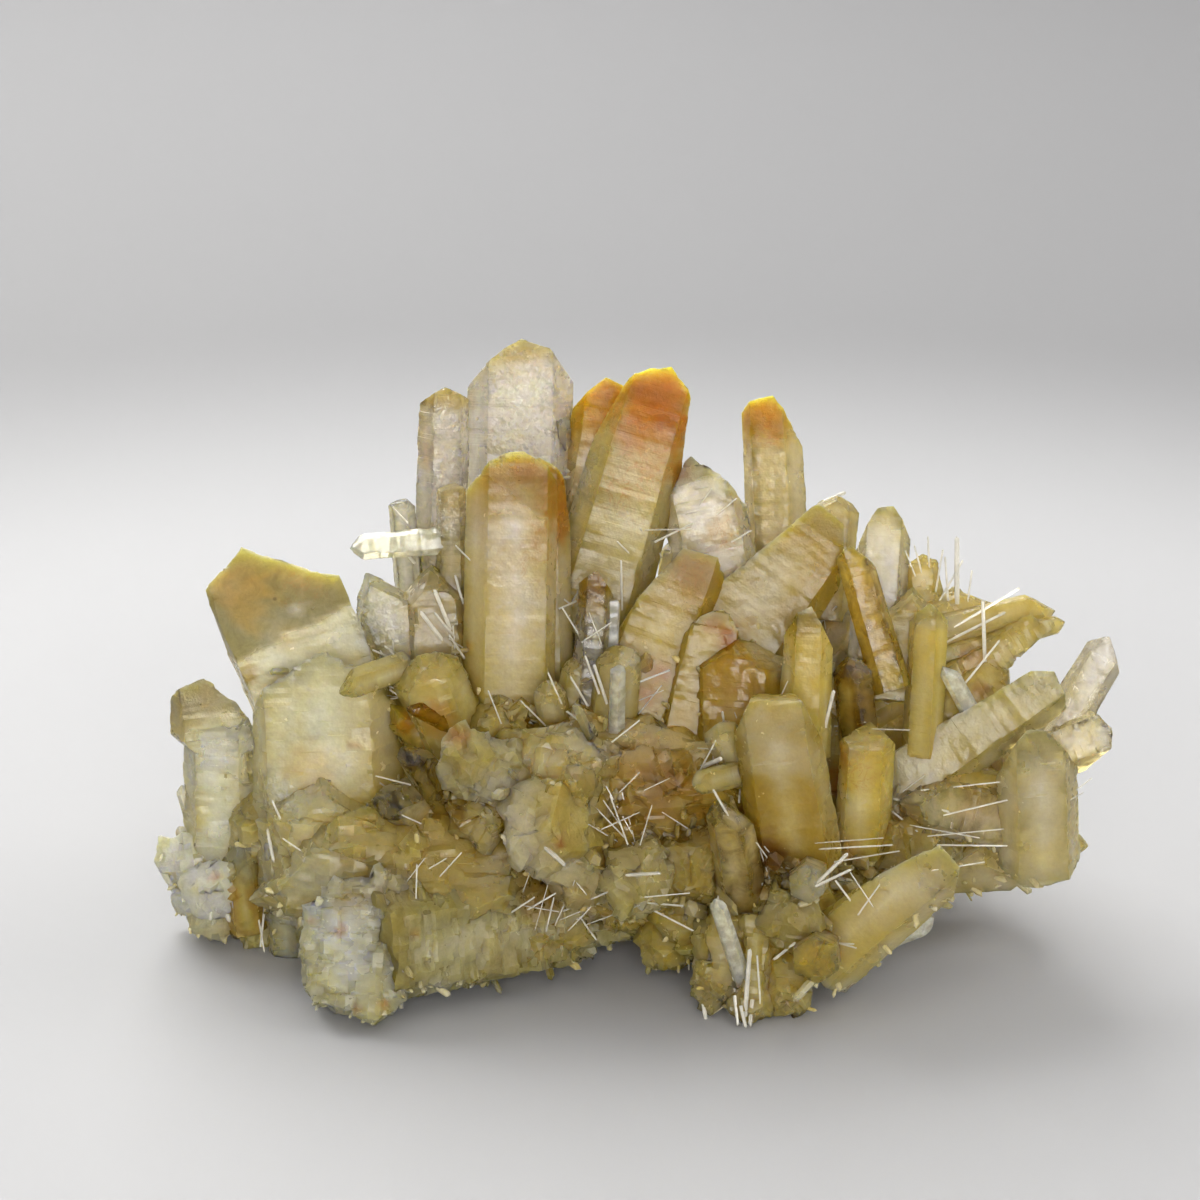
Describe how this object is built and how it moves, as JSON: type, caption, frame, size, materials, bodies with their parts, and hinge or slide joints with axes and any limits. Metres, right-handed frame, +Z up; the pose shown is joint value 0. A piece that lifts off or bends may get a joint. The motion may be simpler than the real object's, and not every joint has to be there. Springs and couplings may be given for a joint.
{
  "type": "mango quartz cluster",
  "caption": "Mound of radiating milky straw-coloured quartz crystals grown together, with mango-orange tips at the top and small clear needles, resting on its own flattened feet.",
  "frame": {"origin": "middle of the cluster's outline in plan, at the level of the flat spots that it rests on", "axes": "+Z up; -Y towards the side that is shown, where the broad broken foot and the leaning crystals stand in front; +X to the viewer's right"},
  "size_m": [0.1348, 0.0871, 0.0829],
  "materials": {
    "mango_quartz": "vitreous, translucent"
  },
  "bodies": {
    "root": {"quartz_cluster": "mango_quartz"}
  },
  "joints": []
}
